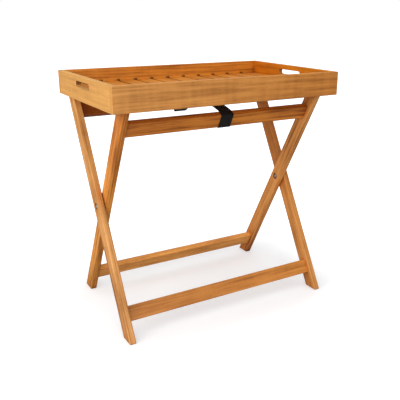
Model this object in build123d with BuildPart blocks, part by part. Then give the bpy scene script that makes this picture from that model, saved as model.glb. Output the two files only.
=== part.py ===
from build123d import *
import os
from math import acos, atan2, cos, degrees, hypot, radians, sin

# Folding tray table: a slatted wooden tray with hand slots, set down on a folding X stand.
# Millimetres. The origin is on the floor under the middle of the tray, +X runs along the tray
# to the right, +Y to the back and +Z up. The stand is open, and a webbing strap holds it there.

os.makedirs("parts", exist_ok=True)

# Tray
tray_length = 700
tray_width = 432
rim_height = 67.5
board_thickness = 15
board_edge_radius = 1.5
rim_drop = 9  # how far the rim reaches down past the leg tops
bearer_width = 30
bearer_thickness = 9
slat_count = 12
slat_gap = 7.4
slat_thickness = 10
slat_edge_radius = 1.5
slat_clearance = 0.5  # from the slats to the boards around them
slot_length = 108
slot_height = 15
slot_drop = 22  # from the top of the rim to the middle of the hand slot
slot_edge_radius = 2.5
dowel_diameter = 8
dowel_length = 34
dowel_depth = 10  # how far a dowel goes into a long board
dowel_spacing = 34
dowel_clearance = 0.1

# Stand
leg_top_height = 643
pivot_height = 339
leg_thickness = 19
leg_depth = 42
leg_edge_radius = 2.5
leg_gap = 1.5  # between an outer leg and the inner leg beside it
leg_top_clearance = 7  # from the leg tops to the long boards
side_play = 1.7  # from the stand to each end board
rail_height = 43
rail_thickness = 19
rail_edge_radius = 2
front_rail_drop = 72.5  # along a leg, from its top to the middle of the front rail
back_rail_drop = 58.5  # the same at the back, where the rail sits higher
stretcher_rise = 73  # along a leg, from its foot to the middle of a stretcher
tenon_length = 12
tenon_height = 30
tenon_thickness = 9
joint_clearance = 0.15

# Pivot bolts
bolt_diameter = 6
running_clearance = 0.05
head_across = 10
head_height = 4
nut_height = 5
bolt_chamfer = 0.5
washer_diameter = 16
washer_thickness = 1.6
counterbore_diameter = 20
counterbore_depth = 7
spacer_diameter = 24

# Strap
strap_x = 9  # a little right of the middle
strap_width = 40
strap_thickness = 1.5
strap_clearance = 0.3  # between the webbing and the rails
strap_tail = 28  # how far an end reaches up the inner face of its rail
strap_lead = 12  # straight part beside each rail
strap_sag = 6  # how far the loop round the back rail hangs below it
strap_slack = radians(12.5)  # how steeply the arched span leaves the line between the rails
tack_head_diameter = 8
tack_head_height = 1.6
tack_diameter = 1.8
tack_length = 10
tack_spacing = 20

# Heights and clear sizes of the tray
rim_bottom = leg_top_height - rim_drop
rim_top = rim_bottom + rim_height
slat_bottom = leg_top_height + bearer_thickness
inner_length = tray_length - 2 * board_thickness
inner_width = tray_width - 2 * board_thickness
slat_width = (inner_length - 2 * slat_clearance + slat_gap) / slat_count - slat_gap
dowel_height = rim_bottom + rim_height / 2
dowel_hole_radius = dowel_diameter / 2 + dowel_clearance

# The stand opens until the leg tops stand just inside the long boards, which sets the lean:
# rise * sin(lean) + leg_depth / 2 = spread * cos(lean).
rise = leg_top_height - pivot_height
spread = inner_width / 2 - leg_top_clearance
lean = acos(leg_depth / 2 / hypot(rise, spread)) - atan2(rise, spread)
print(f"lean {degrees(lean):.3f} degrees from upright")

stand_width = inner_length - 2 * side_play
outer_leg_x = (stand_width - leg_thickness) / 2
inner_leg_x = outer_leg_x - leg_thickness - leg_gap
front_rail_reach = rise / cos(lean) - front_rail_drop
back_rail_reach = rise / cos(lean) - back_rail_drop
stretcher_reach = stretcher_rise - pivot_height / cos(lean)
bolt_hole_radius = bolt_diameter / 2 + running_clearance
tack_hole_radius = tack_diameter / 2 + running_clearance

# Each frame has a plane through the pivots: x along the table, y up along its legs and
# z out of its front. The outer frame leans back at the top and the inner frame leans forward.
pivot = (0, 0, pivot_height)
outer_frame = Plane(pivot, x_dir=(1, 0, 0), z_dir=(0, -cos(lean), sin(lean)))
inner_frame = Plane(pivot, x_dir=(1, 0, 0), z_dir=(0, -cos(lean), -sin(lean)))

on_base = (Align.CENTER, Align.CENTER, Align.MIN)


def save(piece, label):
    """Label a finished piece and write it to its own file."""
    piece.part.label = label
    export_step(piece.part, f"parts/{label}.step")


def across_plane(x, y, facing):
    """Plane at the dowels' height that faces along Y: forwards with facing -1, backwards with +1."""
    return Plane((x, y, dowel_height), x_dir=(1, 0, 0), z_dir=(0, facing, 0))


def make_long_board(label, side):
    """Front board (side -1) or back board (side +1), which covers the ends of the end boards."""
    with BuildPart() as board:
        with Locations((0, side * (tray_width - board_thickness) / 2, rim_bottom)):
            Box(tray_length, board_thickness, rim_height, align=on_base)
        upright = board.edges().filter_by(Axis.Z).sort_by(Axis.Y)
        seams = upright[2:] if side < 0 else upright[:2]
        fillet(board.edges() - seams, board_edge_radius)
        with Locations(across_plane(0, side * inner_width / 2, -side)):
            with GridLocations(tray_length - board_thickness, dowel_spacing, 2, 2):
                Hole(dowel_hole_radius, depth=dowel_depth + dowel_clearance)
    save(board, label)


def make_end_board(label, side):
    """Left end (side -1) or right end (side +1), with its hand slot."""
    middle = side * (tray_length - board_thickness) / 2
    with BuildPart() as board:
        with Locations((middle, 0, rim_bottom)):
            Box(board_thickness, inner_width, rim_height, align=on_base)
        fillet(board.edges().filter_by(Axis.Y), board_edge_radius)
        with BuildSketch(Plane.YZ.offset(middle)):
            with Locations((0, rim_top - slot_drop)):
                SlotOverall(slot_length, slot_height)
        extrude(amount=board_thickness, both=True, mode=Mode.SUBTRACT)
        outlines = board.edges(Select.LAST).group_by(Axis.X)
        fillet(outlines[0] + outlines[-1], slot_edge_radius)
        for end in (-1, 1):
            with Locations(across_plane(middle, end * inner_width / 2, end)):
                with GridLocations(0, dowel_spacing, 1, 2):
                    Hole(dowel_hole_radius, depth=dowel_length - dowel_depth + dowel_clearance)
    save(board, label)


def make_bearer(label, side):
    """Strip along the inside of a long board, which carries the slats and rests on the leg tops."""
    with BuildPart() as bearer:
        with Locations((0, side * (inner_width - bearer_width) / 2, leg_top_height)):
            Box(inner_length, bearer_width, bearer_thickness, align=on_base)
    save(bearer, label)


def make_slat(label, x):
    """One slat of the tray's floor, with eased top edges."""
    with BuildPart() as slat:
        with Locations((x, 0, slat_bottom)):
            Box(slat_width, inner_width - 2 * slat_clearance, slat_thickness, align=on_base)
        fillet(slat.edges().filter_by(Axis.Y).group_by(Axis.Z)[-1], slat_edge_radius)
    save(slat, label)


def make_corner_dowels(label):
    """Two dowels in each corner of the rim, from a long board into the end of an end board."""
    with BuildPart() as dowels:
        for side in (-1, 1):
            with Locations(across_plane(0, side * (inner_width / 2 + dowel_depth), -side)):
                with GridLocations(tray_length - board_thickness, dowel_spacing, 2, 2):
                    Cylinder(dowel_diameter / 2, dowel_length, align=on_base)
    save(dowels, label)


def make_leg(label, frame, side, x_middle, bore_side, rail_reach):
    """One leg. side is -1 at the left and +1 at the right, bore_side the side of its bolt recess."""
    stock_length = 2 * (leg_top_height + leg_depth)
    rail_face = side * x_middle - side * leg_thickness / 2
    with BuildPart(frame) as leg:
        with Locations((side * x_middle, 0, 0)):
            Box(leg_thickness, stock_length, leg_depth)
        split(bisect_by=Plane.XY, keep=Keep.TOP)
        split(bisect_by=Plane.XY.offset(leg_top_height), keep=Keep.BOTTOM)
        fillet(leg.edges(), leg_edge_radius)
        bore_face = side * x_middle + bore_side * leg_thickness / 2
        with Locations(Location((bore_face, 0, 0), (0, 90 * bore_side, 0))):
            CounterBoreHole(bolt_hole_radius, counterbore_diameter / 2, counterbore_depth)
        with Locations((rail_face, rail_reach, 0), (rail_face, stretcher_reach, 0)):
            Box(
                2 * (tenon_length + joint_clearance),
                tenon_height + 2 * joint_clearance,
                tenon_thickness + 2 * joint_clearance,
                mode=Mode.SUBTRACT,
            )
    save(leg, label)


def make_rail(label, frame, leg_x, reach, tack_side=0):
    """Rail between two legs, tenoned into both. tack_side is the face its strap is tacked to, if any."""
    length = 2 * leg_x - leg_thickness
    with BuildPart(frame) as rail:
        with Locations((0, reach, 0)):
            Box(length, rail_height, rail_thickness)
        fillet(rail.edges().filter_by(Axis.X), rail_edge_radius)
        with Locations((0, reach, 0)):
            Box(length + 2 * tenon_length, tenon_height, tenon_thickness)
        if tack_side:
            with Locations(tack_places(reach, tack_side)):
                Hole(tack_hole_radius, depth=tack_length)
    save(rail, label)


def tack_places(reach, tack_side):
    """The two tacks of a strap end on a top rail's face, in the plane of its frame."""
    height = reach - rail_height / 2 + strap_tail / 2
    turn = 0 if tack_side > 0 else 180
    face = tack_side * rail_thickness / 2
    return [
        Location((strap_x + shift * tack_spacing / 2, height, face), (0, turn, 0))
        for shift in (-1, 1)
    ]


def make_tacks(label, frame, reach, tack_side):
    """Two domed tacks that hold a strap end to its rail."""
    seat = strap_clearance + strap_thickness
    crown = (0, seat + tack_head_height)
    rim = (tack_head_diameter / 2, seat)
    neck = (tack_diameter / 2, seat)
    tip = (tack_diameter / 2, -tack_length)
    dome_radius = (tack_head_diameter**2 / 4 + tack_head_height**2) / (2 * tack_head_height)
    with BuildPart() as tack:
        with BuildSketch(Plane.XZ):
            with BuildLine():
                RadiusArc(crown, rim, dome_radius)
                Polyline(rim, neck, tip, (0, -tack_length), crown)
            make_face()
        revolve(axis=Axis.Z)
    with BuildPart(frame) as tacks:
        with Locations(tack_places(reach, tack_side)):
            add(tack.part)
    save(tacks, label)


def strap_wrap(rail_reach, sag):
    """Points (y, z) of the webbing's middle line round a rail that leans forward, from its tacked end on."""
    skin = strap_clearance + strap_thickness / 2
    low = rail_reach - rail_height / 2 - skin - sag
    tail = rail_reach - rail_height / 2 + strap_tail
    high = rail_reach + rail_height / 2 + skin
    outside = rail_thickness / 2 + skin
    points = []
    for reach, side in ((tail, -outside), (low, -outside), (low, outside), (high, outside), (high, -outside)):
        y = -sin(lean) * reach - cos(lean) * side
        z = pivot_height + cos(lean) * reach - sin(lean) * side
        points.append((y, z))
    return points


def make_strap(label):
    """Webbing from rail to rail: up the outside of each, over its top, and between them in a low arch."""
    front = strap_wrap(front_rail_reach, 0)
    back = [(-y, z) for y, z in reversed(strap_wrap(back_rail_reach, strap_sag))]
    (front_y, front_z), (back_y, back_z) = front[-1], back[0]
    slope = atan2(back_z - front_z, back_y - front_y)
    leave, arrive = slope + strap_slack, slope - strap_slack
    start = (front_y + strap_lead * cos(leave), front_z + strap_lead * sin(leave))
    end = (back_y - strap_lead * cos(arrive), back_z - strap_lead * sin(arrive))
    bend_radius = rail_edge_radius + strap_clearance + strap_thickness / 2
    with BuildPart() as strap:
        with BuildSketch(Plane.YZ.offset(strap_x)):
            with BuildLine():
                FilletPolyline(*front, start, radius=bend_radius)
                TangentArc(start, end, tangent=(cos(leave), sin(leave)))
                FilletPolyline(end, *back, radius=bend_radius)
            trace(line_width=strap_thickness)
        extrude(amount=strap_width / 2, both=True)
        for frame, reach, side in ((inner_frame, front_rail_reach, -1), (outer_frame, back_rail_reach, 1)):
            for place in tack_places(reach, side):
                with Locations(frame.location * place):
                    Cylinder(tack_hole_radius, 2 * tack_length, mode=Mode.SUBTRACT)
    save(strap, label)


def make_ring(label, seat, diameter, thickness):
    """Washer or spacer on a pivot bolt, built up from the plane of its seat."""
    with BuildPart() as ring:
        with BuildSketch(seat):
            Circle(diameter / 2)
            Circle(bolt_hole_radius, mode=Mode.SUBTRACT)
        extrude(amount=thickness)
    save(ring, label)


def make_bolt(label, seat, length):
    """Hexagon bolt, with the underside of its head on the plane of its seat."""
    out = Axis(seat.origin, seat.z_dir)
    with BuildPart() as bolt:
        with BuildSketch(seat):
            RegularPolygon(head_across / 2, 6, major_radius=False)
        extrude(amount=head_height)
        chamfer(bolt.faces().sort_by(out)[-1].edges(), bolt_chamfer)
        with BuildSketch(seat):
            Circle(bolt_diameter / 2)
        extrude(amount=-length)
        chamfer(bolt.faces().sort_by(out)[0].edges(), bolt_chamfer)
    save(bolt, label)


def make_nut(label, seat):
    """Hexagon nut, built up from the plane of its outer end."""
    with BuildPart() as nut:
        with BuildSketch(seat):
            RegularPolygon(head_across / 2, 6, major_radius=False)
            Circle(bolt_hole_radius, mode=Mode.SUBTRACT)
        extrude(amount=nut_height)
        hexagon = nut.edges().filter_by(GeomType.LINE)
        chamfer(hexagon - hexagon.filter_by(Axis.X), bolt_chamfer)
    save(nut, label)


def make_pivot(name, side):
    """Bolt, nut, washers and spacer of one pivot, at levels measured from the outer leg's outer face."""
    face = Plane((side * stand_width / 2, 0, pivot_height), x_dir=(0, 1, 0), z_dir=(side, 0, 0))
    head_level = washer_thickness - counterbore_depth
    nut_washer_level = counterbore_depth - 2 * leg_thickness - leg_gap - washer_thickness
    nut_level = nut_washer_level - nut_height
    make_bolt(f"{name}_bolt", face.offset(head_level), head_level - nut_level)
    make_nut(f"{name}_nut", face.offset(nut_level))
    make_ring(f"{name}_head_washer", face.offset(-counterbore_depth), washer_diameter, washer_thickness)
    make_ring(f"{name}_nut_washer", face.offset(nut_washer_level), washer_diameter, washer_thickness)
    make_ring(f"{name}_spacer", face.offset(-leg_thickness - leg_gap), spacer_diameter, leg_gap)


# Tray
make_long_board("front_board", -1)
make_long_board("back_board", 1)
make_end_board("left_end", -1)
make_end_board("right_end", 1)
make_bearer("front_bearer", -1)
make_bearer("back_bearer", 1)
make_corner_dowels("corner_dowels")
for number in range(slat_count):
    make_slat(f"slat_{number + 1:02d}", (number - (slat_count - 1) / 2) * (slat_width + slat_gap))

# Stand
for name, side in (("left", -1), ("right", 1)):
    make_leg(f"outer_{name}_leg", outer_frame, side, outer_leg_x, side, back_rail_reach)
    make_leg(f"inner_{name}_leg", inner_frame, side, inner_leg_x, -side, front_rail_reach)
    make_pivot(f"{name}_pivot", side)
make_rail("back_rail", outer_frame, outer_leg_x, back_rail_reach, tack_side=1)
make_rail("front_stretcher", outer_frame, outer_leg_x, stretcher_reach)
make_rail("front_rail", inner_frame, inner_leg_x, front_rail_reach, tack_side=-1)
make_rail("back_stretcher", inner_frame, inner_leg_x, stretcher_reach)
make_strap("strap")
make_tacks("front_strap_tacks", inner_frame, front_rail_reach, -1)
make_tacks("back_strap_tacks", outer_frame, back_rail_reach, 1)
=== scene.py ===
# %% [markdown]
# # A folding tray table
#
# The table is two things: a shallow slatted tray with a hand slot in each end, and a folding X stand that
# it rests on. Both are made of an oiled, honey-coloured hardwood. A strap of black webbing stops the stand
# from opening further, and two bolts let its frames turn. The construction comes packed as a fixed frame,
# so this script never moves a piece: it gives each one its finish, and it makes the webbing, which is soft.

# %% Load the frame
import random
from math import cos, pi, radians, sin

import bpy
from mathutils import Matrix, Quaternion, Vector


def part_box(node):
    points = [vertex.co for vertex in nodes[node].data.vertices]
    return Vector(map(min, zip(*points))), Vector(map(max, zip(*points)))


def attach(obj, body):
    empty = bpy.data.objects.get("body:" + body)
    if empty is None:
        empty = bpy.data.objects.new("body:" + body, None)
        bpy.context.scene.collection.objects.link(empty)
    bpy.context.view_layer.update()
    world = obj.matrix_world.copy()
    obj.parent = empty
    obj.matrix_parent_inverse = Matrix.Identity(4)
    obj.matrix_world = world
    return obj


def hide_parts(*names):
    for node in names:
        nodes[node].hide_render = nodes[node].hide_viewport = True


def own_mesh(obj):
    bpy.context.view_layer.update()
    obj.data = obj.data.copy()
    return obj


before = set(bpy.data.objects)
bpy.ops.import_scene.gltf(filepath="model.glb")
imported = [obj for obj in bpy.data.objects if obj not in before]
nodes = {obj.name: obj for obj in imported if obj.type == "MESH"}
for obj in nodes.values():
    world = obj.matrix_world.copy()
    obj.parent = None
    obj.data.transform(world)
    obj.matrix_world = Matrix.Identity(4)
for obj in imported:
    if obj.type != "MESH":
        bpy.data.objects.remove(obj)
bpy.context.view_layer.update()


def rounded(values):
    """Numbers to four places, short enough to print."""
    return [round(value, 4) for value in values]


# %% [markdown]
# ## Helpers for node trees
#
# A shader or a geometry tree is a list of nodes and the wires between them. One helper that makes a node,
# sets its options and wires its inputs keeps each tree about as short as the sum that it works out. The
# others are the sums that come up again and again, on numbers and on vectors: one Math node, the parts of a
# vector, what a value leaves of 1, a start plus some shares, and a smooth step.

# %% Helpers for node trees
def wire(tree, node, inputs):
    """Wires each input of a node to a socket, or sets it to a value."""
    for key, value in inputs.items():
        if isinstance(value, bpy.types.NodeSocket):
            tree.links.new(value, node.inputs[key])
        else:
            node.inputs[key].default_value = value


def add_node(tree, kind, inputs=None, **options):
    """A new node, with its options set first and then its inputs."""
    made = tree.nodes.new(kind)
    for name, value in options.items():
        setattr(made, name, value)
    wire(tree, made, inputs or {})
    return made


def calculate(tree, operation, *values):
    """The output of one Math node."""
    return add_node(tree, "ShaderNodeMath", dict(enumerate(values)), operation=operation).outputs[0]


def calculate_vectors(tree, operation, *vectors):
    """The output of one Vector Math node: a number for a length or a dot product, otherwise a vector."""
    made = add_node(tree, "ShaderNodeVectorMath", dict(enumerate(vectors)), operation=operation)
    return made.outputs["Value" if operation in ("LENGTH", "DOT_PRODUCT") else "Vector"]


def parts_of(tree, vector):
    """The outputs X, Y and Z of a vector."""
    return add_node(tree, "ShaderNodeSeparateXYZ", {0: vector}).outputs


def rest_of(tree, value):
    """What a value leaves of 1."""
    return calculate(tree, "SUBTRACT", 1.0, value)


def add_up(tree, start, *shares):
    """A start, plus each value times its weight."""
    total = start
    for value, weight in shares:
        total = calculate(tree, "MULTIPLY_ADD", value, weight, total)
    return total


def rise_between(tree, value, low, high):
    """A smooth step from 0 at low to 1 at high."""
    step = add_node(tree, "ShaderNodeMapRange", {"Value": value, "From Min": low, "From Max": high},
                    interpolation_type="SMOOTHSTEP")
    return step.outputs["Result"]


print("helpers for trees ready")

# %% [markdown]
# ## Helpers for colours
#
# Colours are written the way a paint card gives them, as six hexadecimal digits, and turned into the linear
# light values that a renderer multiplies. Two more helpers do what a painter does with them: one mixes two
# colours, and one slides through a row of them as a value rises.

# %% Helpers for colours
def paint(card):
    """Linear colour of a paint card's six hexadecimal digits, by the curve that screens use."""
    parts = [int(card[i:i + 2], 16) / 255 for i in (0, 2, 4)]
    return (*[c / 12.92 if c <= 0.04045 else ((c + 0.055) / 1.055) ** 2.4 for c in parts], 1.0)


def mix_colours(tree, share, first, second, blend_type="MIX"):
    """The first colour, with a share from 0 to 1 of the second laid over it, or multiplied into it."""
    mixed = add_node(tree, "ShaderNodeMixRGB", {"Fac": share, "Color1": first, "Color2": second},
                     blend_type=blend_type)
    return mixed.outputs["Color"]


def slide_colours(tree, value, *stops):
    """A colour that slides from stop to stop as a value rises. Each stop is a value and a colour."""
    ramp = add_node(tree, "ShaderNodeValToRGB", {"Fac": value})
    marks = ramp.color_ramp.elements
    for mark, (position, colour) in zip(marks, (stops[0], stops[-1])):
        mark.position, mark.color = position, colour
    for position, colour in stops[1:-1]:
        marks.new(position).color = colour
    return ramp.outputs["Color"]


print("the card c98b45 is", rounded(paint("c98b45")[:3]), "in light")

# %% [markdown]
# ## Looking at the table
#
# The camera comes first, because every later choice is judged through it. It stands to the left of the
# table and a little above it, with a lens long enough to keep the sides of the tray from spreading. The
# table doesn't sit in the middle of its picture, and a small lens shift places it there without tilting
# the upright lines.

# %% Place the camera
def new_object(name, data):
    """An object that shows the given data, put into the scene."""
    made = bpy.data.objects.new(name, data)
    bpy.context.collection.objects.link(made)
    return made


camera_place = Vector((-0.83874, -1.51767, 0.87612))
azimuth, elevation, roll = radians(-31.126), radians(18.123), radians(0.294)
away = Vector((sin(azimuth) * cos(elevation), -cos(azimuth) * cos(elevation), sin(elevation)))
level = Vector((cos(azimuth), sin(azimuth), 0))
rise = away.cross(level)
side = level * cos(roll) + rise * sin(roll)
top = rise * cos(roll) - level * sin(roll)

camera = new_object("camera", bpy.data.cameras.new("camera"))
camera.matrix_world = Matrix.Translation(camera_place) @ Matrix((side, top, away)).transposed().to_4x4()
camera.data.sensor_width = 36
camera.data.lens = 52.254
camera.data.shift_x = -0.0497
camera.data.shift_y = -0.0046
camera.data.clip_start = 0.05
bpy.context.scene.camera = camera
print("camera at", rounded(camera.location), "with a lens of", round(camera.data.lens, 1), "mm")

# %% [markdown]
# ## How timber gets its figure
#
# A board is a slice of a tree. Its lines are the tree's yearly rings, cut open: near the heart they curve,
# and far from it they run straight. So the figure is worked out in the round: each point asks how far it lies
# from the heart of the tree, and that distance, divided by the width of a ring, says which ring it is in.
# The same sum draws long lines on a face, arches where the cut grazes a ring, and arcs on the sawn ends,
# with no seam at an edge. Slow noise sways the rings. Noise that is drawn out along the grain adds streaks,
# fibres and pores, and noise drawn out across it adds the faint ripple of wavy grain. In the table of noises,
# each row gives how many grains lie in a metre along, across and through the board, then the noise's detail
# and its roughness.

# %% Helpers for groups and noise
def new_group(name, inputs, outputs):
    """An empty shader group, its inputs as sockets to wire from, and its output node to wire to."""
    group = bpy.data.node_groups.new(name, "ShaderNodeTree")
    for title, default in inputs.items():
        kind = "NodeSocketVector" if isinstance(default, tuple) else "NodeSocketFloat"
        group.interface.new_socket(title, in_out="INPUT", socket_type=kind).default_value = default
    for title in outputs:
        group.interface.new_socket(title, in_out="OUTPUT", socket_type="NodeSocketFloat")
    return group, group.nodes.new("NodeGroupInput").outputs, group.nodes.new("NodeGroupOutput")


def drawn_noise(tree, place, stretch, detail, roughness=0.5):
    """Noise whose grains are drawn out: stretch says how many there are in a metre each way."""
    noise = add_node(tree, "ShaderNodeTexNoise", {
        "Vector": calculate_vectors(tree, "MULTIPLY", place, stretch),
        "Scale": 1.0, "Detail": detail, "Roughness": roughness})
    return noise.outputs["Fac"]


figure_noise = {
    "Sway": ((1.9, 9.0, 9.0), 2.0, 0.5),
    "Wobble": ((9.0, 60.0, 60.0), 2.0, 0.5),
    "Streaks": ((5.0, 120.0, 120.0), 4.0, 0.6),
    "Fibres": ((12.0, 850.0, 850.0), 3.0, 0.6),
    "Pores": ((70.0, 1900.0, 1900.0), 1.0, 0.5),
    "Clouds": ((6.0, 20.0, 20.0), 2.0, 0.5),
    "Ripple": ((55.0, 7.0, 7.0), 1.0, 0.5),
}
print("noises in the figure:", ", ".join(figure_noise))

# %% [markdown]
# ## The timber group
#
# Within a ring, the wood darkens slowly from spring to autumn and turns pale again at once, so its shade is a
# slow rise less a quick fall. Some years are fainter than others. The seed moves a board to another part of
# the noise, far enough for its lines to be its own.

# %% The timber group
seed_steps = (3.71, 1.37, 2.93)
noise_middle, wobble_depth = 0.5, 0.0022
slow_rise, quick_fall, faintest_year = (0.2, 0.9), (0.88, 1.0), 0.3
pore_level = (0.6, 0.72)


def build_timber_group():
    """Figure of a board, at a place given as (along the grain, across the face, through the board)."""
    tree, given, give = new_group("timber_figure", {
        "Place": (0, 0, 0), "Seed": 0.0, "Heart Across": 0.03, "Heart Through": 0.06, "Ring Width": 0.006,
        "Sway": 0.012,
    }, ["Rings", "Streaks", "Fibres", "Pores", "Clouds", "Ripple"])
    apart = add_node(tree, "ShaderNodeCombineXYZ", {
        axis: calculate(tree, "MULTIPLY", given["Seed"], step) for axis, step in zip("XYZ", seed_steps)})
    place = calculate_vectors(tree, "ADD", given["Place"], apart.outputs[0])
    noise = {name: drawn_noise(tree, place, *shape) for name, shape in figure_noise.items()}

    parts = parts_of(tree, given["Place"])
    across = calculate(tree, "SUBTRACT", parts["Y"], given["Heart Across"])
    through = calculate(tree, "SUBTRACT", parts["Z"], given["Heart Through"])
    squares = calculate(tree, "MULTIPLY_ADD", across, across, calculate(tree, "MULTIPLY", through, through))
    sway, wobble = (calculate(tree, "SUBTRACT", noise[name], noise_middle) for name in ("Sway", "Wobble"))
    far = add_up(tree, calculate(tree, "SQRT", squares), (sway, given["Sway"]), (wobble, wobble_depth))
    ring = calculate(tree, "DIVIDE", far, given["Ring Width"])
    within = calculate(tree, "FRACT", ring)
    year = add_node(tree, "ShaderNodeTexWhiteNoise",
                    {"W": calculate(tree, "ADD", calculate(tree, "FLOOR", ring), given["Seed"])},
                    noise_dimensions="1D").outputs["Value"]
    ring_shade = calculate(tree, "SUBTRACT", rise_between(tree, within, *slow_rise),
                           rise_between(tree, within, *quick_fall))
    strength = calculate(tree, "MULTIPLY_ADD", year, 1 - faintest_year, faintest_year)
    wire(tree, give, {
        "Rings": calculate(tree, "MULTIPLY", ring_shade, strength),
        "Pores": rise_between(tree, noise["Pores"], *pore_level),
        **{name: noise[name] for name in ("Streaks", "Fibres", "Clouds", "Ripple")}})
    return tree


timber_figure = build_timber_group()
print("timber group:", len(timber_figure.nodes), "nodes")

# %% [markdown]
# ## Painted highlights, painted shade, crevices and cut ends
#
# A second group finds the places where the colour recipe paints light and shade. Edges get a painted
# highlight, and the tops of boards are painted with light from above. The Bevel node gives the normal that
# the surface would have with a rounded edge, and where it turns away from the true normal, the point lies
# close to an edge. A top is simply a surface that looks up. Both count only where the view is open. In hand
# slots and in the gaps between pieces, the recipe paints shade. Ambient occlusion finds these crevices, as
# the points from which other surfaces close by hide more of the view than in a plain corner, where it is
# half. Looking a little further, it also finds the wood that other pieces shelter, under the tray and at the
# joints, where a deeper, redder shade is painted. Last, the group finds cut ends, where the surface faces
# along the grain, and the recipe paints them pale.

# %% The edge and end group
# Ranges of the masks: painted highlight on edges and tops, painted shade where pieces shelter each other and
# in crevices, and cut ends.
edge_turn, top_tilt, open_view_for_highlight = (0.01, 0.2), (0.7, 0.95), (0.35, 0.55)
shelter_cover, crevice_cover, end_tilt = (0.1, 0.5), (0.5, 0.85), (0.6, 0.95)


def build_edge_group():
    """Masks of edges and tops for painted light, of sheltered wood and crevices for painted shade, and of cut
    ends.
    """
    tree, given, give = new_group("edges_and_ends", {
        "Normal": (0, 0, 1), "Grain": (1, 0, 0), "Width": 0.002, "Reach": 0.05, "Shelter": 0.07,
    }, ["Painted Highlight", "Sheltered", "Crevice", "End"])
    true_normal = add_node(tree, "ShaderNodeNewGeometry").outputs["Normal"]
    soft_normal = add_node(tree, "ShaderNodeBevel", {"Radius": given["Width"]}, samples=6).outputs["Normal"]
    agreement = calculate_vectors(tree, "DOT_PRODUCT", true_normal, soft_normal)
    along_grain = calculate_vectors(tree, "DOT_PRODUCT", given["Normal"], given["Grain"])
    open_view, wide_view = (
        add_node(tree, "ShaderNodeAmbientOcclusion", {"Distance": given[reach]}, samples=8).outputs["AO"]
        for reach in ("Reach", "Shelter"))
    # Painted highlight: edges and tops that look up are masked here so that they are painted paler, as light
    # catches them.
    edge = rise_between(tree, rest_of(tree, agreement), *edge_turn)
    top_face = rise_between(tree, parts_of(tree, given["Normal"])["Z"], *top_tilt)
    highlight_mask = calculate(tree, "MAXIMUM", edge, top_face)
    # The first mask paints a highlight and light from above. The sheltered and crevice masks say where shade
    # is painted.
    wire(tree, give, {
        "Painted Highlight": calculate(tree, "MULTIPLY", highlight_mask, rise_between(tree, open_view, *open_view_for_highlight)),
        "Sheltered": rise_between(tree, rest_of(tree, wide_view), *shelter_cover),
        "Crevice": rise_between(tree, rest_of(tree, open_view), *crevice_cover),
        "End": rise_between(tree, calculate(tree, "ABSOLUTE", along_grain), *end_tilt)})
    return tree


edges_and_ends = build_edge_group()
print("edge group:", len(edges_and_ends.nodes), "nodes")

# %% [markdown]
# ## Painted shade in the gaps
#
# The gaps of the tray's floor look dark, most of all where a gap ends at a long board, and this group paints
# that shade on: on the sides of each gap, and as a dark spot where it meets the long board. Ambient occlusion
# can't tell such a spot from any other corner, so this group goes by the layout, which is measured on the
# frame: how far a point lies from the middle of the nearest gap, from the long board and above the floor. Two
# slats stand beside the middle of the tray, so a gap lies at x = 0.

# %% The painted gap shade group
wall_reach, gap_fade = 0.014, 0.0016
floor_fade, wall_fade = (0.003, 0.0075), (-0.001, -0.0005)
plain_gap_shade, more_shade_by_wall = 0.3, 0.45


def build_gap_shade_group():
    """Mask of the sides of the gaps between slats, and of the spots where the gaps meet the long boards."""
    tree, given, give = new_group("gap_shade", {
        "Place": (0, 0, 0), "Pitch": 0.056, "Gap": 0.0074, "Wall": 0.2, "Floor": 0.66, "Spread": 0.0015,
    }, ["Painted Shade"])
    parts = parts_of(tree, given["Place"])
    from_middle = calculate(tree, "PINGPONG", parts["X"], calculate(tree, "MULTIPLY", given["Pitch"], 0.5))
    from_wall = calculate(tree, "SUBTRACT", given["Wall"], calculate(tree, "ABSOLUTE", parts["Y"]))
    by_wall = rest_of(tree, rise_between(tree, from_wall, 0.0, wall_reach))
    spread = calculate(tree, "MULTIPLY", given["Spread"], by_wall)
    dirty_half = calculate(tree, "MULTIPLY_ADD", given["Gap"], 0.5, spread)
    past_gap = calculate(tree, "SUBTRACT", from_middle, dirty_half)
    above_floor = calculate(tree, "SUBTRACT", parts["Z"], given["Floor"])
    # Painted shade: the sides of each gap, with more of it by the long board.
    painted_shade = calculate(tree, "MULTIPLY_ADD", by_wall, more_shade_by_wall, plain_gap_shade)
    for mask in (rest_of(tree, rise_between(tree, past_gap, 0.0, gap_fade)),
                 rest_of(tree, rise_between(tree, above_floor, *floor_fade)),
                 rise_between(tree, from_wall, *wall_fade)):
        painted_shade = calculate(tree, "MULTIPLY", painted_shade, mask)
    wire(tree, give, {"Painted Shade": painted_shade})
    return tree


gap_shade = build_gap_shade_group()
first_slat, next_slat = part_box("slat_01"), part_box("slat_02")
floor_layout = {
    "Pitch": next_slat[0][0] - first_slat[0][0],
    "Gap": next_slat[0][0] - first_slat[1][0],
    "Wall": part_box("back_board")[0][1],
    "Floor": first_slat[1][2],
}
print("gap dirt group:", len(gap_shade.nodes), "nodes;", *floor_layout, rounded(floor_layout.values()))

# %% [markdown]
# ## Painted shade in the hand slots
#
# The walls of a hand slot lie in shade, most of all at a slot's round ends, and this group paints that shade
# onto them. The lower wall, which looks up into the light, gets much less of it. The walls are the surfaces
# of an end board that don't look along X and that lie within the slot's outline, so this group tests the
# normal and two distances.

# %% The painted slot shade group
slot_length, slot_height, slot_drop = 0.108, 0.015, 0.022
plain_slot_shade, more_at_ends, upward_light_share = 0.4, 0.35, 0.8
upward_tilt, face_tilt = (0.3, 0.8), (0.4, 0.9)
slot_end, rim_fade = (-0.02, -0.003), (0.001, 0.003)


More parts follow.
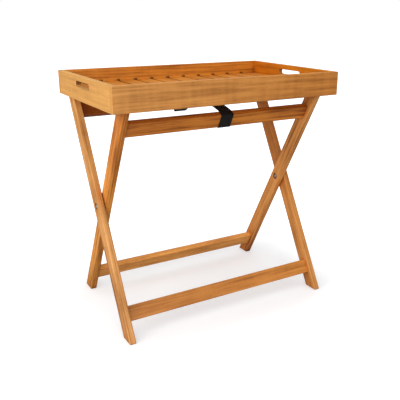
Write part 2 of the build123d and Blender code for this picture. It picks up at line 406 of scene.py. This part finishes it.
def build_slot_shade_group():
    """Mask of the walls of a hand slot in an end board."""
    tree, given, give = new_group("slot_shade", {
        "Place": (0, 0, 0), "Normal": (0, 0, 1), "Middle": 0.68, "Height": 0.015, "Length": 0.108,
        "Amount": 1.0,
    }, ["Painted Shade"])
    parts, facing = parts_of(tree, given["Place"]), parts_of(tree, given["Normal"])
    up = calculate(tree, "ABSOLUTE", calculate(tree, "SUBTRACT", parts["Z"], given["Middle"]))
    out = calculate(tree, "ABSOLUTE", parts["Y"])
    past_side = calculate(tree, "MULTIPLY_ADD", given["Height"], -0.5, up)
    past_end = calculate(tree, "MULTIPLY_ADD", given["Length"], -0.5, out)
    # Painted shade on the slot's walls, more at its round ends. The lower wall, which looks up, is mostly
    # spared.
    painted_shade = calculate(tree, "MULTIPLY_ADD", rise_between(tree, past_end, *slot_end), more_at_ends, plain_slot_shade)
    painted_shade = calculate(tree, "MULTIPLY", painted_shade, given["Amount"])
    for clean in (calculate(tree, "MULTIPLY", rise_between(tree, facing["Z"], *upward_tilt), upward_light_share),
                  rise_between(tree, calculate(tree, "ABSOLUTE", facing["X"]), *face_tilt),
                  rise_between(tree, past_side, *rim_fade),
                  rise_between(tree, past_end, *rim_fade)):
        painted_shade = calculate(tree, "MULTIPLY", painted_shade, rest_of(tree, clean))
    wire(tree, give, {"Painted Shade": painted_shade})
    return tree


slot_shade = build_slot_shade_group()
slot_layout = {"Middle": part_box("left_end")[1][2] - slot_drop, "Height": slot_height, "Length": slot_length}
print("slot grime group:", len(slot_shade.nodes), "nodes;", *slot_layout, rounded(slot_layout.values()))

# %% [markdown]
# ## Cutting a board from its tree
#
# Every board on the real table is its own piece of timber, so no two show the same lines. Each piece gets a
# material of its own from one recipe: the same groups, fed with the way its grain runs, its own seed and its
# own distance from the heart of the tree. A Mapping node turns the piece so that its grain runs along the
# first axis.

# %% A board's place in its tree
cut_ranges = {
    "Heart Across": (-0.03, 0.03), "Heart Through": (0.02, 0.09), "Ring Width": (0.005, 0.009),
    "Sway": (0.012, 0.03),
}


def cut_board(tree, sight, middle, grain, face, seed, chance):
    """Place along, across and through a board, and what its figure and its marks show there, by name."""
    to_board = Matrix((grain, face, grain.cross(face)))
    place = add_node(tree, "ShaderNodeMapping", {
        "Vector": sight["Object"], "Location": -(to_board @ middle), "Rotation": to_board.to_euler("XYZ")})
    cut = {socket: chance.uniform(*limits) for socket, limits in cut_ranges.items()}
    figure = add_node(tree, "ShaderNodeGroup", {"Place": place.outputs[0], "Seed": float(seed), **cut},
                      node_tree=timber_figure)
    marks = add_node(tree, "ShaderNodeGroup", {"Normal": sight["Normal"], "Grain": grain},
                     node_tree=edges_and_ends)
    return place.outputs[0], {**dict(figure.outputs.items()), **dict(marks.outputs.items())}


print("a board differs in", ", ".join(cut_ranges))

# %% [markdown]
# ## The colour of oiled hardwood
#
# The figure doesn't hold colours of its own: it lightens or darkens the board's colour card, more in blue
# than in red, as real timber does. So early and late wood, the painted highlight and the redder painted shade
# are multipliers. A long board is seldom one colour: it is redder where it was cut nearer to the heart, so a
# piece may have two cards, one for each end, and its colour slides from the first to the second. The pale
# colour painted on cut ends, the painted shade on sheltered wood and the pores come on top.

# %% The colour of the wood
early_wood, plain_wood, late_wood = (1.3, 1.45, 1.7, 1.0), (1.0, 1.0, 1.0, 1.0), (0.5, 0.42, 0.32, 1.0)
# Tints for the painted highlight and for the painted shade of sheltered wood, and the pale colour painted on
# cut ends.
painted_highlight_tint, painted_shade_red = (1.75, 1.9, 1.6, 1.0), (0.75, 0.55, 0.36, 1.0)
pale_end_colour, dark_pore = paint("cb934c"), paint("5a2f10")
end_share, pore_share = 0.7, 0.35
usual_figure = {"Streaks": 0.5, "Clouds": 0.5, "Rings": 0.3, "Fibres": 0.5, "Ripple": 0.5}
middle_shade, board_spread = 0.5, 0.06


def figure_colour(tree, look, chance, ripple, contrast):
    """Light and dark of the figure, as a colour that multiplies the board's card."""
    weights = {"Streaks": contrast, "Clouds": 0.6 * contrast, "Rings": 0.15 * contrast,
               "Fibres": 0.3, "Ripple": ripple}
    usual = sum(weight * usual_figure[part] for part, weight in weights.items())
    start = middle_shade + chance.uniform(-board_spread, board_spread) - usual
    shade = add_up(tree, start, *((look[part], weight) for part, weight in weights.items()))
    return slide_colours(tree, shade, (0.0, early_wood), (middle_shade, plain_wood), (1.0, late_wood))


def board_colour(tree, look, figured, along, half, cards, highlight_strength, shade_strength):
    """Colour with painted highlight and sheltered shade, at a distance along a board of the given half
    length.
    """
    # Painted highlight: edges and tops are painted towards a paler tint.
    wear_and_highlight = mix_colours(tree, calculate(tree, "MULTIPLY", look["Painted Highlight"], highlight_strength), figured, painted_highlight_tint)
    to_end = add_node(tree, "ShaderNodeMapRange", {"Value": along, "From Min": -half, "From Max": half})
    first, last = paint(cards.split()[0]), paint(cards.split()[-1])
    card = mix_colours(tree, to_end.outputs["Result"], first, last)
    colour = mix_colours(tree, 1.0, card, wear_and_highlight, "MULTIPLY")
    # Painted shade: sheltered wood is multiplied towards a deeper red.
    for part, share, stain, blend_type in (("End", end_share, pale_end_colour, "MIX"),
                                           ("Sheltered", shade_strength, painted_shade_red, "MULTIPLY"),
                                           ("Pores", pore_share, dark_pore, "MIX")):
        colour = mix_colours(tree, calculate(tree, "MULTIPLY", look[part], share), colour, stain, blend_type)
    return colour


print("late wood keeps", late_wood[:3], "of its card's red, green and blue")

# %% [markdown]
# ## The finish of oiled hardwood
#
# Painted shade lies over the colour, in crevices on every board, and where a board's own shade group finds
# it: in the gaps of the floor and in the hand slots. The oil leaves a thin satin film, which is the coat.
# Fibres, pores and cut ends break the shine up, and a fine relief lets the light catch the fibres and sink
# into the pores.

# %% The wood recipe
# Painted shade: this dark red-brown is laid into crevices, into the gaps of the floor and into the hand
# slots.
painted_shade_colour, crevice_share = paint("4a1c06"), 0.75
oiled_roughness, rougher_by = 0.46, {"Fibres": 0.16, "Pores": 0.15, "End": 0.12}
pore_relief = -0.6


def new_material(name):
    """A new material, its node tree and its shader."""
    material = bpy.data.materials.new(name)
    material.use_nodes = True
    return material, material.node_tree, material.node_tree.nodes["Principled BSDF"]


def relief_normal(tree, height, strength, distance):
    """Normal of a surface with a fine relief, whose full depth is distance, in metres."""
    bump = add_node(tree, "ShaderNodeBump", {"Height": height, "Strength": strength, "Distance": distance})
    return bump.outputs["Normal"]


def painted_shade_share(tree, sight, look, shade_group):
    """How much painted shade lies at a point. The last argument is a group that paints shade with its layout,
    or nothing.
    """
    share = calculate(tree, "MULTIPLY", look["Crevice"], crevice_share)
    if shade_group:
        group, layout = shade_group
        painted_shade = add_node(tree, "ShaderNodeGroup", {"Place": sight["Object"], **layout}, node_tree=group)
        if "Normal" in painted_shade.inputs:
            wire(tree, painted_shade, {"Normal": sight["Normal"]})
        share = calculate(tree, "MAXIMUM", share, painted_shade.outputs["Painted Shade"])
    return share


def make_wood(name, middle, half, seed, shade_group, shade_strength, grain, face, cards, ripple, contrast, highlight_strength):
    """Oiled wood for a board whose grain runs along grain and whose broad face spreads along face."""
    chance = random.Random(seed)
    material, tree, shader = new_material(name)
    sight = add_node(tree, "ShaderNodeTexCoord").outputs
    place, look = cut_board(tree, sight, middle, grain, face, seed, chance)
    figured = figure_colour(tree, look, chance, ripple, contrast)
    colour = board_colour(tree, look, figured, parts_of(tree, place)["X"], half, cards, highlight_strength, shade_strength)
    rougher = ((look[part], more) for part, more in rougher_by.items())
    relief = add_up(tree, look["Fibres"], (look["Pores"], pore_relief))
    wire(tree, shader, {
        "Base Color": mix_colours(tree, painted_shade_share(tree, sight, look, shade_group), colour, painted_shade_colour),
        "Roughness": add_up(tree, oiled_roughness, *rougher),
        "Normal": relief_normal(tree, relief, strength=0.25, distance=0.0003),
        "Specular IOR Level": 0.25, "Coat Weight": 0.02, "Coat Roughness": 0.3})
    return material


print("wood recipe ready")

# %% [markdown]
# ## The ways of the grain
#
# The grain of a board runs along its length: along X in the long boards, the bearers and the rails, along Y
# in the end boards and the slats, and along the lean in the legs. The lean is read off the frame itself, as
# the line between the middles of a frame's two rails.

# %% Measure the boards
def middle_of(node):
    """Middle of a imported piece's box."""
    low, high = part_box(node)
    return (Vector(low) + Vector(high)) / 2


def reach_of(node, way):
    """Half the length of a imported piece's box along a direction."""
    low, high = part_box(node)
    return sum(abs(part) * (end - start) for part, start, end in zip(way, low, high)) / 2


along_x, along_y, along_z = (Vector(axis) for axis in ((1, 0, 0), (0, 1, 0), (0, 0, 1)))
inner_lean = (middle_of("front_rail") - middle_of("back_stretcher")).normalized()
outer_lean = (middle_of("back_rail") - middle_of("front_stretcher")).normalized()
inner_across, outer_across = inner_lean.cross(along_x), outer_lean.cross(along_x)
print("the inner frame leans along", rounded(inner_lean), "and the outer along", rounded(outer_lean))

# %% [markdown]
# ## Giving each board its timber
#
# Each board of the rim and of the stand has its own colour cards, because they come from several trees. In
# the rim, the left end is the palest, and the right end and the back board are the reddest. The back rail's
# darker card and the outer right leg's darker top card are painted shade, the tray's shadow. The slats share
# one card, and so do the bearers. Where there are two cards, the first is for the end at the left, at the
# front or at the bottom. The seed of a board comes from its place in the list and from the number of its
# tree. The numbers were picked from a dozen trial renders, for the boards whose lines another tree suited
# better, and the rest keep tree 0. The left hand slot gets more painted shade than the right one, and the
# rails and legs of the stand get painted shade where they are sheltered, under the tray and at their joints.

# %% Dress the wooden pieces
def dress(node, material):
    """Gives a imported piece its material."""
    piece = nodes[node]
    if not piece.material_slots:
        piece.data.materials.append(material)
    for slot in piece.material_slots:
        slot.material = material


columns = ("grain", "face", "cards", "ripple", "contrast", "highlight_strength")
timber = {
    "front_board": (along_x, along_z, "c58745 c17a32", 0.35, 1.2, 0.55),
    "back_board": (along_x, along_z, "ca7f2d d78426", 0.2, 1.6, 0.3),
    "left_end": (along_y, along_z, "d19850", 0.12, 0.8, 0.4),
    "right_end": (along_y, along_z, "d08110 c66d07", 0.12, 1.4, 0.3),
    "front_bearer": (along_x, along_y, "c0762c", 0.1, 1.0, 0.1),
    "back_bearer": (along_x, along_y, "c0762c", 0.1, 1.0, 0.1),
    "corner_dowels": (along_y, along_z, "d19850", 0.0, 1.0, 0.1),
    "front_rail": (along_x, inner_lean, "b56923 bf6f22", 0.2, 2.6, 0.1),
    "back_stretcher": (along_x, inner_lean, "e3994c", 0.2, 1.5, 0.05),
    # Painted shade: the back rail's card is darker than the rest of the stand, for the tray's shadow on it.
    "back_rail": (along_x, outer_lean, "994f15", 0.2, 1.6, 0.1),
    "front_stretcher": (along_x, outer_lean, "b37236 ca7f36", 0.2, 1.6, 0.1),
    "inner_left_leg": (inner_lean, inner_across, "d7913c c3742d", 0.2, 2.2, 0.1),
    "inner_right_leg": (inner_lean, inner_across, "cb823e c88543", 0.2, 2.2, 0.1),
    "outer_left_leg": (outer_lean, outer_across, "c4874b ce904e", 0.2, 2.2, 0.1),
    # Painted shade: this leg's darker top card stands for the tray's shadow on its upper end.
    "outer_right_leg": (outer_lean, outer_across, "cd8c49 ba6b25", 0.2, 1.5, 0.1),
}
slats = [node for node in sorted(nodes) if node.startswith("slat_")]
timber.update({node: (along_y, along_x, "d58329", 0.1, 1.4, 0.1) for node in slats})
trees = {"back_board": 5, "front_rail": 5, "left_end": 8, "outer_left_leg": 8, "back_rail": 10,
         "back_stretcher": 10, "inner_left_leg": 10, "outer_right_leg": 10}
# Groups that paint shade: the gap shade on the slats and long boards, and the slot shade on the end boards.
shade_groups = {node: (gap_shade, floor_layout) for node in (*slats, "front_board", "back_board")}
shade_groups["left_end"] = (slot_shade, {**slot_layout, "Amount": 1.0})
shade_groups["right_end"] = (slot_shade, {**slot_layout, "Amount": 0.4})
first_seed, tree_step, stand_painted_shade = 11, 100, 0.7

for count, (node, row) in enumerate(sorted(timber.items())):
    finish = dict(zip(columns, row))
    seed = first_seed + count + tree_step * trees.get(node, 0)
    # Rails and legs get the painted shade of sheltered wood.
    shade_strength = stand_painted_shade if node.endswith(("_rail", "_leg")) else 0.0
    half = reach_of(node, finish["grain"])
    dress(node, make_wood(f"wood_{node}", middle_of(node), half, seed, shade_groups.get(node), shade_strength, **finish))
print("wooden pieces dressed:", len(timber))

# %% [markdown]
# ## Zinc-plated steel
#
# The pivot bolts, their nuts and washers, the spacers and the strap's tacks are small turned or pressed
# parts with a dull zinc plating. Plating is a true metal, so its colour sits in the reflection. A cloudy
# noise dulls it in patches, the way zinc ages, and a finer one gives the grain of the pressed surface.

# %% Dress the metal pieces
patch_grain, press_grain = (220.0, 220.0, 220.0), (1800.0, 1800.0, 1800.0)
bright_roughness, rougher_patches = 0.18, 0.3


def make_zinc(name):
    """Dull zinc plating."""
    material, tree, shader = new_material(name)
    place = add_node(tree, "ShaderNodeTexCoord").outputs["Object"]
    patches = drawn_noise(tree, place, patch_grain, 3.0)
    pressed = drawn_noise(tree, place, press_grain, 2.0)
    wire(tree, shader, {
        "Base Color": slide_colours(tree, patches, (0.3, paint("a5a49c")), (0.7, paint("d2d2cc"))),
        "Roughness": add_up(tree, bright_roughness, (patches, rougher_patches)),
        "Normal": relief_normal(tree, pressed, strength=0.2, distance=0.0001),
        "Metallic": 1.0})
    return material


zinc = make_zinc("zinc_plating")
metal_pieces = [node for node in nodes if "_pivot_" in node or node.endswith("_tacks")]
for node in metal_pieces:
    dress(node, zinc)
print("metal pieces dressed:", len(metal_pieces))

# %% [markdown]
# ## Black webbing
#
# The strap is woven polypropylene: round yarns run its length in ribs, and they cross in slanted rows that
# turn the other way from rib to rib, like a row of arrowheads. The ribs are real geometry, and the rows are
# a relief on a map that is measured in metres, across and along the strap, so the weave bends with it.
# Between the yarns of the rows, the colour carries painted shade.

# %% The webbing material
strap_width, strap_thickness, rib_count, row_pitch = 0.040, 0.0015, 14, 0.0019
fuzz_grain, wear_grain = (5200.0, 5200.0, 1.0), (60.0, 25.0, 1.0)
yarn_tone, wear_tone, fuzz_relief = 0.6, 0.5, 0.25
yarn_roughness, rougher_fuzz = 0.42, 0.3


def make_webbing(name):
    """Black webbing whose weave follows the strap's own map."""
    material, tree, shader = new_material(name)
    on_strap = add_node(tree, "ShaderNodeUVMap", uv_map="weave").outputs["UV"]
    parts = parts_of(tree, on_strap)
    rib = calculate(tree, "DIVIDE", parts["X"], strap_width / rib_count)
    turned = calculate(tree, "PINGPONG", rib, 1.0)
    phase = calculate(tree, "MULTIPLY_ADD", parts["Y"], 1 / row_pitch, turned)
    yarn = calculate(tree, "ABSOLUTE", calculate(tree, "SINE", calculate(tree, "MULTIPLY", phase, pi)))
    fuzz = drawn_noise(tree, on_strap, fuzz_grain, 2.0)
    wear_and_highlight = drawn_noise(tree, on_strap, wear_grain, 3.0)
    # Painted shade: the colour darkens between the yarns. The slow noise is the strap's own uneven tone.
    tone = add_up(tree, calculate(tree, "MULTIPLY", yarn, yarn_tone), (wear_and_highlight, wear_tone))
    relief = add_up(tree, yarn, (fuzz, fuzz_relief))
    wire(tree, shader, {
        "Base Color": slide_colours(tree, tone, (0.0, paint("050505")), (1.0, paint("131314"))),
        "Roughness": add_up(tree, yarn_roughness, (fuzz, rougher_fuzz)),
        "Normal": relief_normal(tree, relief, strength=0.7, distance=0.0004),
        "Specular IOR Level": 0.2, "Sheen Weight": 0.03, "Sheen Roughness": 0.4})
    return material


webbing = make_webbing("black_webbing")
print("webbing material:", len(webbing.node_tree.nodes), "nodes")

# %% [markdown]
# ## The strap's guide and section
#
# A strap is one flat section drawn along a path, which is what Geometry Nodes' Curve to Mesh does. The guide
# is the path with its corners rounded. The section is a rectangle with rounded corners, with grooves pressed
# into its two broad faces between the ribs. Both store where a point lies, how far along and how far across
# the strap, as the map for the weave.

# %% The guide and the section
rib_depth = 0.00022
bend_steps, corner_steps, section_step = 6, 4, 0.00036
corner_share, broad_face = 0.42, (0.0004, 0.0007)


def store(tree, geometry, name, value, data_type="FLOAT", domain="POINT"):
    """Geometry whose points or corners carry a named value."""
    kept = add_node(tree, "GeometryNodeStoreNamedAttribute",
                    {"Geometry": geometry, "Name": name, "Value": value}, data_type=data_type, domain=domain)
    return kept.outputs[0]


def strap_guide(tree, given):
    """The path with rounded corners, and how far along the strap each of its points lies."""
    path = add_node(tree, "GeometryNodeFilletCurve", {
        "Curve": given["Geometry"], "Radius": given["Corner Radius"], "Limit Radius": True,
        "Count": bend_steps}, mode="POLY")
    path = add_node(tree, "GeometryNodeSetCurveNormal", {"Curve": path.outputs[0], "Normal": (1, 0, 0)},
                    mode="FREE")
    run = add_node(tree, "GeometryNodeSplineParameter").outputs["Length"]
    return store(tree, path.outputs[0], "along", calculate(tree, "ADD", run, given["Starts At"]))


def strap_section(tree, given):
    """The ribbed section, and how far across the strap each of its points lies."""
    section = add_node(tree, "GeometryNodeCurvePrimitiveQuadrilateral",
                       {"Width": given["Width"], "Height": given["Thickness"]})
    corner = calculate(tree, "MULTIPLY", given["Thickness"], corner_share)
    section = add_node(tree, "GeometryNodeFilletCurve",
                       {"Curve": section.outputs[0], "Radius": corner, "Count": corner_steps}, mode="POLY")
    section = add_node(tree, "GeometryNodeResampleCurve",
                       {"Curve": section.outputs[0], "Length": section_step}, mode="LENGTH")
    spot = parts_of(tree, add_node(tree, "GeometryNodeInputPosition").outputs[0])
    wave = calculate(tree, "MULTIPLY", calculate(tree, "DIVIDE", spot["X"], given["Width"]),
                     calculate(tree, "MULTIPLY", given["Ribs"], 2 * pi))
    groove = calculate(tree, "MULTIPLY_ADD", calculate(tree, "COSINE", wave), 0.5, 0.5)
    flat = rise_between(tree, calculate(tree, "ABSOLUTE", spot["Y"]), *broad_face)
    press = calculate(tree, "MULTIPLY", calculate(tree, "MULTIPLY", groove, flat), given["Rib Depth"])
    inwards = calculate(tree, "MULTIPLY", calculate(tree, "SIGN", spot["Y"]), -1.0)
    offset = add_node(tree, "ShaderNodeCombineXYZ", {"Y": calculate(tree, "MULTIPLY", press, inwards)})
    section = add_node(tree, "GeometryNodeSetPosition",
                       {"Geometry": section.outputs[0], "Offset": offset.outputs[0]})
    return store(tree, section.outputs[0], "across", spot["X"])


print("ribs", round(1000 * strap_width / rib_count, 2), "mm wide and", 1000 * rib_depth, "mm deep")

# %% [markdown]
# ## Sweeping the strap along its path
#
# The tree sweeps the section along the guide, closes the two ends, and turns the stored distances into the
# map for the weave. Its sizes are named inputs, so that one tree makes all the pieces of the strap.

# %% The strap tree
def build_strap_tree():
    """Geometry tree that sweeps ribbed webbing along a curve in the YZ plane."""
    tree = bpy.data.node_groups.new("strap_sweep", "GeometryNodeTree")
    tree.interface.new_socket("Geometry", in_out="INPUT", socket_type="NodeSocketGeometry")
    for name in ("Width", "Thickness", "Corner Radius", "Rib Depth", "Ribs", "Starts At"):
        tree.interface.new_socket(name, in_out="INPUT", socket_type="NodeSocketFloat")
    tree.interface.new_socket("Material", in_out="INPUT", socket_type="NodeSocketMaterial")
    tree.interface.new_socket("Geometry", in_out="OUTPUT", socket_type="NodeSocketGeometry")
    given = tree.nodes.new("NodeGroupInput").outputs

    swept = add_node(tree, "GeometryNodeCurveToMesh", {
        "Curve": strap_guide(tree, given), "Profile Curve": strap_section(tree, given), "Fill Caps": True})
    across, along = (
        add_node(tree, "GeometryNodeInputNamedAttribute", {"Name": name}, data_type="FLOAT").outputs[0]
        for name in ("across", "along"))
    weave = add_node(tree, "ShaderNodeCombineXYZ", {"X": across, "Y": along}).outputs[0]
    mapped = store(tree, swept.outputs[0], "weave", weave, data_type="FLOAT2", domain="CORNER")
    whole = add_node(tree, "GeometryNodeRealizeInstances", {"Geometry": mapped}).outputs[0]
    done = add_node(tree, "GeometryNodeSetMaterial", {"Geometry": whole, "Material": given["Material"]})
    wire(tree, tree.nodes.new("NodeGroupOutput"), {0: done.outputs[0]})
    return tree


strap_sweep = build_strap_tree()
print("strap tree:", len(strap_sweep.nodes), "nodes")

# %% [markdown]
# ## The path of the strap
#
# On each top rail the strap starts on the inner face, goes down and under the rail, up its outer face and
# over its top, and from there it crosses to the other rail. Webbing this stiff doesn't lie dead straight: it
# leaves the rails at a slant, its middle stands some millimetres higher, and its loop round the back rail
# hangs a little below the wood. The corners are found from the rail's own middle and lean, so the strap sits
# on the rail wherever the frame puts it.

# %% Find the corners
rail_height, rail_thickness, rail_edge_radius = 0.043, 0.019, 0.002
strap_x, strap_tail, strap_lead, strap_slack, strap_sag = 0.009, 0.028, 0.005, radians(12.5), 0.006
strap_clearance = 0.0003
strap_gap = strap_clearance + strap_thickness / 2


def wrap_corners(rail, lean, outwards, sag):
    """Corners of the strap's middle line round a top rail, from its tacked end to its span."""
    middle = middle_of(rail)
    middle.x = strap_x
    high, deep = rail_height / 2 + strap_gap, rail_thickness / 2 + strap_gap
    low = -high - sag
    steps = [(strap_tail - rail_height / 2, -deep), (low, -deep), (low, deep), (high, deep), (high, -deep)]
    return [middle + lean * up + outwards * out for up, out in steps]


front_path = wrap_corners("front_rail", inner_lean, -inner_across, 0)
back_path = wrap_corners("back_rail", outer_lean, outer_across, strap_sag)
crossing = (back_path[-1] - front_path[-1]).normalized()
leaving = Quaternion(along_x, strap_slack) @ crossing
arriving = Quaternion(along_x, -strap_slack) @ crossing
front_path.append(front_path[-1] + leaving * strap_lead)
back_path.append(back_path[-1] - arriving * strap_lead)
back_path.reverse()
print("strap crosses from", rounded(front_path[-1]), "to", rounded(back_path[0]))

# %% [markdown]
# ## The strap's lines
#
# The stand folds, and the strap goes slack. Each end is held by its rail, so it is a piece that moves with
# that rail's frame. The middle can't follow either frame, so it is a third piece. The line of a wrap is a row
# of straight runs, whose corners the tree rounds. The line of the span is one curve, with a handle at each
# end along the slant.

# %% Lines for the wraps and the span
def corner_curve(name, points):
    """A curve of straight runs through points."""
    line = bpy.data.curves.new(name, "CURVE")
    line.dimensions = "3D"
    run = line.splines.new("POLY")
    run.points.add(len(points) - 1)
    for spot, point in zip(run.points, points):
        spot.co = (*point, 1)
    return line


def arched_curve(name, start, end, leaving, arriving):
    """A curve from start to end that leaves and arrives along the given directions."""
    line = bpy.data.curves.new(name, "CURVE")
    line.dimensions = "3D"
    line.resolution_u = 40
    arch = line.splines.new("BEZIER")
    arch.bezier_points.add(1)
    handle = (end - start).length / 3
    for bend, point, way in zip(arch.bezier_points, (start, end), (leaving, arriving)):
        bend.handle_left_type = bend.handle_right_type = "FREE"
        bend.co, bend.handle_left, bend.handle_right = point, point - way * handle, point + way * handle
    return line


front_line = corner_curve("front_wrap", front_path)
span_line = arched_curve("span", front_path[-1], back_path[0], leaving, arriving)
back_line = corner_curve("back_wrap", back_path)
print("a wrap turns", len(front_path) - 2, "corners")

# %% [markdown]
# ## The strap in three pieces
#
# A modifier runs the tree on each line, and the result is kept as a plain mesh, because what moves with the
# frame has to be finished first. Each piece starts where the one before it ends, so the weave runs on from
# piece to piece.

# %% Make the strap
def sweep_strap(name, line, starts_at, bend_radius):
    """A piece of webbing along a curve, as a plain mesh, and how far along the strap it ends."""
    guide = new_object(name + "_path", line)
    sweep = guide.modifiers.new("sweep", "NODES")
    sweep.node_group = strap_sweep
    wanted = {"Width": strap_width, "Thickness": strap_thickness, "Corner Radius": bend_radius,
              "Rib Depth": rib_depth, "Ribs": float(rib_count), "Starts At": starts_at, "Material": webbing}
    for socket in strap_sweep.interface.items_tree:
        if socket.in_out == "INPUT" and socket.name in wanted:
            sweep[socket.identifier] = wanted[socket.name]
    mesh = bpy.data.meshes.new_from_object(guide.evaluated_get(bpy.context.evaluated_depsgraph_get()))
    mesh.name = name
    bpy.data.objects.remove(guide)
    ends_at = max(value.value for value in mesh.attributes["along"].data)
    print(name, len(mesh.polygons), "faces,", round(ends_at - starts_at, 4), "m long")
    return new_object(name, mesh), ends_at


bend_radius = rail_edge_radius + strap_gap
front_wrap, front_end = sweep_strap("strap_front_wrap", front_line, 0.0, bend_radius)
span, span_end = sweep_strap("strap_span", span_line, front_end, 0.0)
back_wrap, strap_end = sweep_strap("strap_back_wrap", back_line, span_end, bend_radius)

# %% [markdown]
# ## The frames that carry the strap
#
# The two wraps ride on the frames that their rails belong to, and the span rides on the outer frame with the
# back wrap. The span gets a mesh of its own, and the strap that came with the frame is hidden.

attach(front_wrap, "inner_frame")
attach(span, "outer_frame")
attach(back_wrap, "outer_frame")
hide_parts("strap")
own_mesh(span)

# %% [markdown]
# ## The floor
#
# The table stands on a white sweep, which is a wide sheet of paper with a faint tooth. In a studio, such a
# sheet is lit until it burns out to white, and only a soft shadow stays under the table. So the paper glows
# to the camera: least in a rounded rectangle where the shadow lies, and more and more outside it. The wood
# doesn't see the glow: for the light that it throws back, the floor is a plain grey.

# %% Lay the floor
floor_half, shadow_half_length, shadow_half_width = 40, 0.44, 0.3
paper_tones, bounced_tone = ((0.68, 0.68, 0.68, 1), (0.72, 0.72, 0.72, 1)), (0.4, 0.4, 0.4, 1)
paper_grain = (40.0, 40.0, 40.0)
glow_tint, glow_reach, least_glow, most_glow = (0.97, 1.0, 1.03, 1), (0.7, 2.2), 0.37, 0.85


def make_floor(name):
    """White paper floor with a faint tooth, which glows to the camera."""
    material, tree, shader = new_material(name)
    place = add_node(tree, "ShaderNodeTexCoord").outputs["Object"]
    tooth = drawn_noise(tree, place, paper_grain, 3.0)
    paper = slide_colours(tree, tooth, (0.0, paper_tones[0]), (1.0, paper_tones[1]))
    seen = add_node(tree, "ShaderNodeLightPath").outputs["Is Camera Ray"]
    per_half = (1 / shadow_half_length, 1 / shadow_half_width, 1)
    shares = calculate_vectors(tree, "MULTIPLY", place, per_half)
    out = calculate_vectors(tree, "LENGTH", calculate_vectors(tree, "MULTIPLY", shares, shares))
    glow = add_node(tree, "ShaderNodeMapRange", {
        "Value": out, "From Min": glow_reach[0], "From Max": glow_reach[1],
        "To Min": least_glow, "To Max": most_glow}).outputs["Result"]
    wire(tree, shader, {
        "Base Color": mix_colours(tree, seen, bounced_tone, paper),
        "Roughness": 0.9, "Specular IOR Level": 0.1, "Emission Color": glow_tint,
        "Emission Strength": calculate(tree, "MULTIPLY", glow, seen)})
    mesh = bpy.data.meshes.new(name)
    corners = [(x * floor_half, y * floor_half, 0) for x, y in ((-1, -1), (1, -1), (1, 1), (-1, 1))]
    mesh.from_pydata(corners, [], [(0, 1, 2, 3)])
    mesh.materials.append(material)
    return new_object(name, mesh)


make_floor("studio_floor")
print("floor laid:", 2 * floor_half, "m each way")

# %% [markdown]
# ## The lamps
#
# A large soft lamp on the left makes the end of the tray and the left side of each leg the brightest faces,
# and a second one in front keeps the rest from going grey. Large lamps give soft shadows, as cloth boxes do.

# %% Set up the lamps
def soft_lamp(name, place, aim, size, power, tint):
    """A square lamp of the given size that faces a point."""
    lamp = bpy.data.lights.new(name, "AREA")
    lamp.size, lamp.energy, lamp.color = size, power, paint(tint)[:3]
    holder = new_object(name, lamp)
    holder.location = place
    holder.rotation_euler = (Vector(aim) - Vector(place)).to_track_quat("-Z", "Y").to_euler()
    return holder


table_middle = (0, 0, 0.4)
lamps = [
    soft_lamp("left_lamp", (-2.6, -0.5, 1.0), table_middle, size=1.6, power=37, tint="fffaf2"),
    soft_lamp("front_lamp", (-1.2, -2.4, 1.2), table_middle, size=2.0, power=35, tint="ffffff"),
]
print("lamps:", ", ".join(lamp.name for lamp in lamps))

# %% [markdown]
# ## The sky of the studio
#
# The rest of the light comes from all round. It is brighter overhead than round the sides, as under a wide
# ceiling of cloth, and the camera sees it as plain white.

# %% Light the sky
white, side_height, top_height = (1, 1, 1, 1), 0.1, 0.9


def make_sky(name, around, overhead):
    """Even studio light: one strength round the sides, another overhead, and plain white to the camera."""
    world = bpy.data.worlds.new(name)
    world.use_nodes = True
    tree = world.node_tree
    tree.nodes.clear()
    height = parts_of(tree, add_node(tree, "ShaderNodeTexCoord").outputs["Generated"])["Z"]
    strength = add_node(tree, "ShaderNodeMapRange", {
        "Value": height, "From Min": side_height, "From Max": top_height,
        "To Min": around, "To Max": overhead}).outputs["Result"]
    light, plain = (add_node(tree, "ShaderNodeBackground", {"Color": white, "Strength": value}).outputs[0]
                    for value in (strength, 1.0))
    seen = add_node(tree, "ShaderNodeLightPath").outputs["Is Camera Ray"]
    mix = add_node(tree, "ShaderNodeMixShader", {0: seen, 1: light, 2: plain})
    wire(tree, tree.nodes.new("ShaderNodeOutputWorld"), {"Surface": mix.outputs[0]})
    return world


bpy.context.scene.world = make_sky("studio_sky", around=0.45, overhead=0.85)
bpy.context.scene.view_settings.view_transform = "Standard"
print("sky lit:", bpy.context.scene.world.name)
